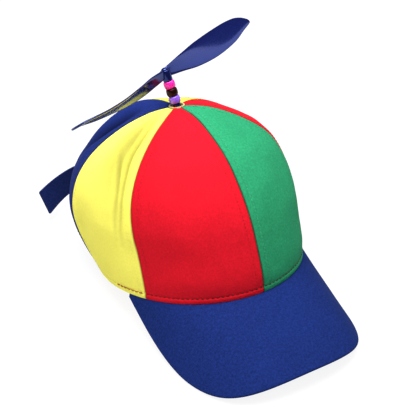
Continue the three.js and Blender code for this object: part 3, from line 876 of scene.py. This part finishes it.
def hem_row(panel, seed):
    middle = panel_middle(panel)
    fine = np.linspace(0, 0.2, 801)
    path = crown(np.full(801, middle), fine * np.interp(middle, ALL_ANGLES, EYELET_UPS))
    shares = np.array([np.interp(HEM_ROW, path[:, 2], fine)])
    _, points, run = panel_table(panel, shares)
    low, high = row_limits(points, run)[0]
    low = low + (0.4 if low == 0 else ARCH_ROW)
    high = high - (0.4 if high == run[0, -1] else ARCH_ROW)
    target = np.linspace(low, high, 260)[None, :]
    place = with_loose(places_at(panel, shares, target), seed)
    return outer_point(place, 0)[0], place["normal"][0]


def arch_row(panel, seed):
    sign = 1 if panel["name"] == "back_right" else -1
    turn = np.radians(np.linspace(3, 88.5, 160))
    x = sign * (ARCH_HALF_WIDTH + ARCH_ROW) * np.cos(turn)
    z = (ARCH_HEIGHT + ARCH_ROW) * np.sin(turn)
    ups = np.linspace(0, 0.6, 601)
    up = np.interp(z, CROWN_HEIGHT * column_at(CROWN_SECTIONS, "height", ups), ups)
    half_width = RIM_HALF_WIDTH * column_at(CROWN_SECTIONS, "half_width", up)
    angle = 360 + np.degrees(np.arccos(x / half_width))
    place = {
        "seam": np.abs(x),
        "shrink": 1,
        "point": crown(angle, up),
        "normal": normal_of(crown, angle, up),
    }
    return outer_point(with_loose(place, seed), 0), place["normal"]


# Brim


def brim_outline(share):
    side = np.where(share < 0.5, -1.0, 1.0)
    angle = 270 + side * BRIM_HALF_ANGLE
    zero = np.zeros_like(share)
    outward = levelled(normal_of(crown, angle, zero))
    corner = crown(angle, zero) + outward * BRIM_CORNER_REACH
    front = plain_crown(270.0, 0.0)[1]
    t = (1 - np.abs(2 * share - 1))[..., None]
    knots = [corner]
    for row in BRIM_OUTLINE:
        across = side * row["across"] * RIM_HALF_WIDTH
        knots.append(np.stack((across, front - row["forward"] * BRIM_LENGTH + zero, zero), -1))
    a, b, c, d = knots
    return (1 - t) ** 3 * a + 3 * t * (1 - t) ** 2 * b + 3 * t ** 2 * (1 - t) * c + t ** 3 * d


def brim_height(point):
    forward = plain_crown(270.0, 0.0)[1] - point[..., 1]
    across = point[..., 0] / RIM_HALF_WIDTH
    curl = np.maximum(forward, 0) / BRIM_LENGTH
    fall = BRIM_SLOPE * forward + BRIM_FRONT_CURL * curl ** 2
    return -fall - BRIM_SIDE_DROP * across ** 2 - BRIM_EDGE_DROP * across ** 4


def grid_normals(grid):
    return unit(np.cross(np.gradient(grid, axis=1), np.gradient(grid, axis=0)))


def build_brim():
    columns = 181
    share = 1 - np.linspace(0, 1, columns)
    angle = 270 - BRIM_HALF_ANGLE + 2 * BRIM_HALF_ANGLE * share
    zero = np.zeros(columns)
    rim = crown(angle, zero)
    outward = levelled(normal_of(crown, angle, zero))
    outline = brim_outline(share)
    length = np.linalg.norm(outline - rim, axis=1)
    half = BRIM_THICKNESS / 2
    edge = half * np.array((2.6, 1.8, 1.2, 0.85, 0.55, 0.3, 0.12, 0))
    short = np.minimum(1, length / 9)
    steps = 30
    outs = [i / steps * (1 - edge[0] * short / length) for i in range(steps)]
    outs += [1 - distance * short / length for distance in edge]
    rows = [rim + (outline - rim) * out[:, None] for out in outs]
    grid = np.array([rim - outward * HEM_THICKNESS] + rows)
    distance = np.array([np.full(columns, 99.0)] + [(1 - out) * length for out in outs])
    out = np.clip(1 - distance / length, 0, 1)
    fall = brim_height(grid) - (1 - out) ** 2 * brim_height(rim)
    grid[1:, :, 2] = fall[1:]
    grid[..., 2] += BRIM_SEAT
    normal = grid_normals(grid)
    down = unit(np.array((0, 0, 1.0)) * (1 - out[..., None]) + normal * out[..., None])
    rolled = quarter_round(distance, half * short)
    wave = 0.25 * soft_noise(grid, 38, 4) * smooth_step(distance, 2, 12)
    front = grid + normal * (wave - rolled)[..., None]
    back = grid - down * (BRIM_THICKNESS - rolled)[..., None] + normal * wave[..., None]
    across = (share - 0.5)[None, :] * BRIM_WAY_ROUND
    uvs = np.stack(np.broadcast_arrays(across, run_along(grid)), -1)
    material = cloth_material("brim_blue", BRIM_COLOUR, 0.25)
    piece = make_sheet("brim_cloth", front, back, uvs, material)
    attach(piece, "cap")
    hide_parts("brim")


# Straps


def strap_point(stations, share, across):
    angle = column_at(stations, "angle", share)
    spring = STRAP_SPRING * column_at(stations, "spring", share)
    lean = np.radians(column_at(stations, "lean", share))
    up = np.full(np.shape(share), STRAP_LIFT / CROWN_HEIGHT)
    normal = normal_of(crown, angle, up)
    outward = levelled(normal)
    width = outward * np.sin(lean)[..., None] + np.array((0, 0, 1.0)) * np.cos(lean)[..., None]
    point = crown(angle, up) - normal * (HEM_THICKNESS + CLEARANCE) + outward * spring[..., None]
    point[..., 2] += STRAP_RISE * column_at(stations, "rise", share)
    return point + width * (across * STRAP_WIDTH)[..., None]


def build_strap(name, stations, columns, material):
    fine = np.linspace(0, 1, 801)
    path = strap_point(stations, fine, np.full(801, 0.5))
    run = run_along(path)
    total = run[-1]
    ends = np.array((0, 0.1, 0.3, 0.55, 0.9, 1.4, 2, 2.8, 3.8, 5))
    inner = np.linspace(ends[-1], total - ends[-1], columns)[1:-1]
    lengths = np.concatenate((ends, inner, total - ends[::-1]))
    side = np.array((0, 0.08, 0.25, 0.5, 0.85, 1.3, 2.0))
    middle = np.linspace(side[-1], STRAP_WIDTH - side[-1], 9)[1:-1]
    widths = np.concatenate((side, middle, STRAP_WIDTH - side[::-1])) / STRAP_WIDTH
    from_end = np.minimum(lengths, total - lengths)
    from_side = np.minimum(widths, 1 - widths) * STRAP_WIDTH
    left = np.clip(STRAP_CORNER - from_end, 0, STRAP_CORNER)
    half = 0.5 - (STRAP_CORNER - np.sqrt(STRAP_CORNER ** 2 - left ** 2)) / STRAP_WIDTH
    across = 0.5 + (widths[:, None] - 0.5) * 2 * half[None, :]
    share = np.broadcast_to(np.interp(lengths, run, fine)[None, :], across.shape)
    grid = strap_point(stations, share, across)
    normal = grid_normals(grid)
    edge = np.minimum(from_side[:, None], from_end[None, :])
    rolled = quarter_round(edge, 0.45 * STRAP_THICKNESS)
    woven = 0.12 * bell(edge - 1.6, 0.5)
    front = grid - normal * (rolled + woven)[..., None]
    back = grid - normal * (STRAP_THICKNESS - rolled - woven)[..., None]
    uvs = np.stack(np.broadcast_arrays(lengths[None, :], across * STRAP_WIDTH), -1)
    piece = make_sheet(f"tape_{name}", front, back, uvs, material)
    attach(piece, "cap")
    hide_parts(name)


# Eyelet, pin, beads and propeller

EYELET_TOP = (EYELET_HEIGHT - CLOTH) / 2
EYELET_BOTTOM = EYELET_TOP - EYELET_HEIGHT


# One of the two coordinates of an oval between a circle and a square
def squared(value):
    return math.copysign(abs(value) ** 0.75, value)


def build_eyelet():
    middle = EYELET_HOLE_RADIUS + EYELET_WIDTH / 2
    level = (EYELET_TOP + EYELET_BOTTOM) / 2
    shape = []
    for turn in np.linspace(0, 2 * math.pi, 28, endpoint=False):
        across = middle + EYELET_WIDTH / 2 * squared(math.cos(turn))
        shape.append((across, level + EYELET_HEIGHT / 2 * squared(math.sin(turn))))

    def ridges(angle, radius, height):
        wrap = np.abs(np.sin(WRAPS * angle / 2 + 0.35 * np.sin(3 * angle))) ** 0.6
        size = 0.7 + 0.16 * wrap + 0.03 * np.sin(7 * angle)
        return middle + (radius - middle) * size, level + (height - level) * size

    steps = WRAPS * 8
    points, faces = lathe(shape, steps, ridges)
    tints = []
    for face in faces:
        degrees = 360 * (face[0] // len(shape)) / steps
        orange = EYELET_ORANGE_ARC[0] < degrees < EYELET_ORANGE_ARC[1]
        pink = EYELET_PINK_ARC[0] < degrees < EYELET_PINK_ARC[1]
        tints.append(1 if orange else 2 if pink else 0)
    materials = [
        thread_material("thread_cream", EYELET_COLOUR),
        thread_material("thread_orange", EYELET_ORANGE),
        thread_material("thread_pink", EYELET_PINK),
    ]
    piece = make_piece(
        "eyelet_thread", points, faces, materials, face_materials=tints,
        matrix=Matrix.Translation(Vector(APEX)),
    )
    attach(piece, "cap")
    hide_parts("eyelet")


BEAD_PITCH = BEAD_LENGTH + CLEARANCE
HUB_BOTTOM = STACK_LIFT + len(BEADS) * BEAD_PITCH
HUB_TOP = HUB_BOTTOM + HUB_LENGTH
BORE_RADIUS = PIN_RADIUS + CLEARANCE


def build_pin(material):
    lean = PIN_DIRECTION.angle(Vector((0, 0, 1)))
    disc_top = EYELET_BOTTOM - CLEARANCE - PIN_DISC_RADIUS * math.tan(lean)
    head_bottom = HUB_TOP + CLEARANCE
    head_top = head_bottom + PIN_HEAD_HEIGHT
    profile = rounded_profile([
        (0.01, disc_top - PIN_DISC_THICKNESS, 0),
        (PIN_DISC_RADIUS, disc_top - PIN_DISC_THICKNESS, 0.5),
        (PIN_DISC_RADIUS, disc_top, 0.5),
        (PIN_BOSS_RADIUS, disc_top, 0.3),
        (PIN_BOSS_RADIUS, STACK_LIFT - CLEARANCE, 0.3),
        (PIN_RADIUS, STACK_LIFT - CLEARANCE, 0.1),
        (PIN_RADIUS, head_bottom, 0.1),
        (PIN_HEAD_RADIUS, head_bottom, 0.25),
        (0.8 * PIN_HEAD_RADIUS, 0.4 * head_bottom + 0.6 * head_top, 0.5),
        (0.01, head_top, 0),
    ])
    points, faces = lathe(profile, 48)
    piece = make_piece("pin_moulded", points, faces, [material], matrix=TOP)
    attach(piece, "cap")
    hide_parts("pin")


def build_bead(bead, place):
    low = STACK_LIFT + place * BEAD_PITCH
    mouth = BORE_RADIUS + BEAD_ROUNDING
    profile = [(BORE_RADIUS, low + 0.25)]
    for angle in np.linspace(-1, 1, 25) * math.pi / 2:
        radius = mouth + (BEAD_RADIUS - mouth) * abs(math.cos(angle)) ** 0.42
        height = low + BEAD_LENGTH / 2 * (1 + math.copysign(abs(math.sin(angle)) ** 0.9, angle))
        profile.append((radius, height))
    profile.append((BORE_RADIUS, low + BEAD_LENGTH - 0.25))
    points, faces = lathe(profile, 64)
    material = plastic_material(bead["name"], bead["colour"], 0.2, bead["gloss"], bead["glow"])
    piece = make_piece(f"{bead['name']}_moulded", points, faces, [material], matrix=TOP)
    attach(piece, bead["name"])
    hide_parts(bead["name"])


def blade_point(share, across):
    root = (BORE_RADIUS + HUB_RADIUS) / 2
    along = column_at(BLADE_STATIONS, "along", share)
    chord = BLADE_CHORD * column_at(BLADE_STATIONS, "chord", share)
    turn = np.radians(column_at(BLADE_STATIONS, "pitch", share))
    x = root + (BLADE_REACH - root) * along
    y = BLADE_REACH * column_at(BLADE_STATIONS, "sweep", share) + across * chord * np.cos(turn)
    z = BLADE_REACH * column_at(BLADE_STATIONS, "rise", share) + across * chord * np.sin(turn)
    return np.stack((x, y, z), -1)


def blade_sheet():
    rows, columns = 72, 25
    share = np.linspace(0, 1, rows) ** 0.93
    across = 0.5 * np.cos(np.linspace(0, math.pi, columns))
    share_grid, across_grid = np.broadcast_arrays(share[:, None], across[None, :])
    middle = blade_point(share_grid, across_grid)
    normal = grid_normals(middle)
    rim = np.maximum(1 - (2 * np.abs(across_grid)) ** 6, 0.0) ** 0.5
    tip = np.minimum(1, ((1 - share_grid) * 12) ** 0.5)
    half = 0.5 * BLADE_THICKNESS * np.maximum(rim * (0.35 + 0.65 * tip), 0.04)
    front = middle + normal * half[..., None]
    back = middle - normal * half[..., None]
    points = np.concatenate((front.reshape(-1, 3), back.reshape(-1, 3)))
    return points, sheet_faces(rows, columns)


def build_propeller(material):
    hub_profile = rounded_profile([
        (BORE_RADIUS, 0, 0.15),
        (HUB_RADIUS, 0, 0.6),
        (HUB_RADIUS, HUB_LENGTH, 0.9),
        (BORE_RADIUS, HUB_LENGTH, 0.15),
    ])
    hub = lathe(hub_profile, 64)
    points, faces = blade_sheet()
    points = points + np.array((0, 0, HUB_LENGTH / 2))
    half_turn = np.array((-1, -1, 1))
    parts = [hub, (points, faces), (points * half_turn, faces)]
    turn = Matrix.Rotation(math.radians(PROPELLER_TURN), 4, "Z")
    place = TOP @ Matrix.Translation((0, 0, HUB_BOTTOM)) @ turn
    points, faces = gather(parts)
    piece = make_piece("propeller_moulded", points, faces, [material], matrix=place)
    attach(piece, "propeller")
    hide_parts("propeller")


# Cloth materials for the panels, with painted shade in their creases and seams
CLOTH_MATERIALS = {
    name: cloth_material(f"cloth_{name}", row["cloth"], row["grain"], shaded_creases=True)
    for name, row in CLOTH_COLOURS.items()
}

# Panels with their stitches: those of the hem and the arch are dark but for the yellow panels
threads = {"hem_stitches": [], "hem_stitches_yellow": [], "loose_thread": []}
for seed, panel in enumerate(PANELS):
    build_panel(panel, seed)
    rows = [stitches(line, normals) for line, normals in seam_rows(panel, seed)]
    points, faces = gather(rows)
    colour = CLOTH_COLOURS[panel["colour"]]["thread"]
    thread = thread_material(f"seam_thread_{panel['name']}", colour)
    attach(make_piece(f"seam_stitches_{panel['name']}", points, faces, [thread]), "cap")
    line, normals = hem_row(panel, seed)
    name = "hem_stitches_yellow" if panel["colour"] == "yellow" else "hem_stitches"
    threads[name].append(stitches(line, normals, **HEM_STITCH))
    if panel["name"] == "left":
        loose = slice(round(0.55 * len(line)), round(0.97 * len(line)))
        lifted = line[loose] + LOOSE_THREAD_LIFT * normals[loose]
        threads["loose_thread"].append(stitches(lifted, normals[loose], **LOOSE_STITCH))
    if panel["name"].startswith("back"):
        threads[name].append(stitches(*arch_row(panel, seed)))
for name, parts in threads.items():
    points, faces = gather(parts)
    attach(make_piece(name, points, faces, [thread_material(name, HEM_THREADS[name])]), "cap")

build_brim()
tape = cloth_material("strap_navy", STRAP_COLOUR, 0.25, 0.6)
build_strap("strap_long", STRAP_STATIONS, 90, tape)
build_strap("strap_short", SHORT_STRAP_STATIONS, 24, tape)
build_eyelet()
moulded_blue = plastic_material("plastic_blue", PROPELLER_COLOUR, 0.14, PROPELLER_GLOSS, ior=1.8)
build_pin(moulded_blue)
for place, bead in enumerate(BEADS):
    build_bead(bead, place)
build_propeller(moulded_blue)

# Floor, light and camera, in metres

FLOOR_REACH = 4
FLOOR_DROP = 0.0002
FLOOR_GLOW = 0.91


def make_floor():
    corners = [(-1, -1), (1, -1), (1, 1), (-1, 1)]
    points = [(FLOOR_REACH * x, FLOOR_REACH * y, -FLOOR_DROP) for x, y in corners]
    mesh = bpy.data.meshes.new("floor")
    mesh.from_pydata(points, [], [(0, 1, 2, 3)])
    floor = bpy.data.objects.new("floor", mesh)
    bpy.context.scene.collection.objects.link(floor)
    material, _, shader = new_material("floor_white", (0.1, 0.1, 0.1), 0.95, 0.1)
    set_inputs(shader, Emission_Color=(1, 1, 1, 1), Emission_Strength=FLOOR_GLOW)
    mesh.materials.append(material)


def make_light(name, position, size, power, aim=None):
    light = bpy.data.lights.new(name, "AREA")
    light.shape = "RECTANGLE"
    light.size, light.size_y = size
    light.energy = power
    lamp = bpy.data.objects.new(name, light)
    lamp.location = position
    if aim is not None:
        lamp.rotation_mode = "QUATERNION"
        lamp.rotation_quaternion = (Vector(aim) - Vector(position)).to_track_quat("-Z", "Y")
    bpy.context.scene.collection.objects.link(lamp)


# The camera was fitted to the photograph in the cap's own frame, in millimetres
CAMERA_TARGET = Vector((10.36, -14.95, 40.8))
CAMERA_BACK = Vector((-0.4555, -0.7988, 0.3929))
CAMERA_AZIMUTH = -29.69
CAMERA_ROLL = -7.14
CAMERA_DISTANCE = 1137.6
SENSOR_WIDTH = 36
PHOTO_PIXELS = 416
FOCAL_PIXELS = 1400


def make_camera():
    back = CAMERA_BACK.normalized()
    azimuth = math.radians(CAMERA_AZIMUTH)
    level = Vector((math.cos(azimuth), math.sin(azimuth), 0))
    upright = back.cross(level)
    roll = math.radians(CAMERA_ROLL)
    right = math.cos(roll) * level + math.sin(roll) * upright
    top = -math.sin(roll) * level + math.cos(roll) * upright
    turn = PLACE.to_3x3().normalized()
    axes = Matrix((turn @ right, turn @ top, turn @ back)).transposed()
    data = bpy.data.cameras.new("camera")
    data.sensor_width = SENSOR_WIDTH
    data.lens = SENSOR_WIDTH * FOCAL_PIXELS / PHOTO_PIXELS
    data.clip_start = 0.05
    data.clip_end = 20
    camera = bpy.data.objects.new("camera", data)
    place = PLACE @ (CAMERA_TARGET + back * CAMERA_DISTANCE)
    camera.matrix_world = Matrix.Translation(place) @ axes.to_4x4()
    bpy.context.scene.collection.objects.link(camera)
    bpy.context.scene.camera = camera


make_floor()
make_light("overhead", (0.5, 0.05, 1.3), (3.4, 2.1), 28)
make_light("key", (-0.1, 0.0, 1.6), (1.0, 1.0), 30)
make_light("left_fill", (-0.85, 0.1, 1.35), (1.0, 1.0), 7, (0, 0, 0.1))
world = bpy.data.worlds.new("studio")
world.use_nodes = True
set_inputs(world.node_tree.nodes["Background"], Color=(1, 1, 1, 1), Strength=0.03)
bpy.context.scene.world = world
bpy.context.scene.view_settings.view_transform = "Standard"
bpy.context.scene.view_settings.gamma = 0.8
make_camera()
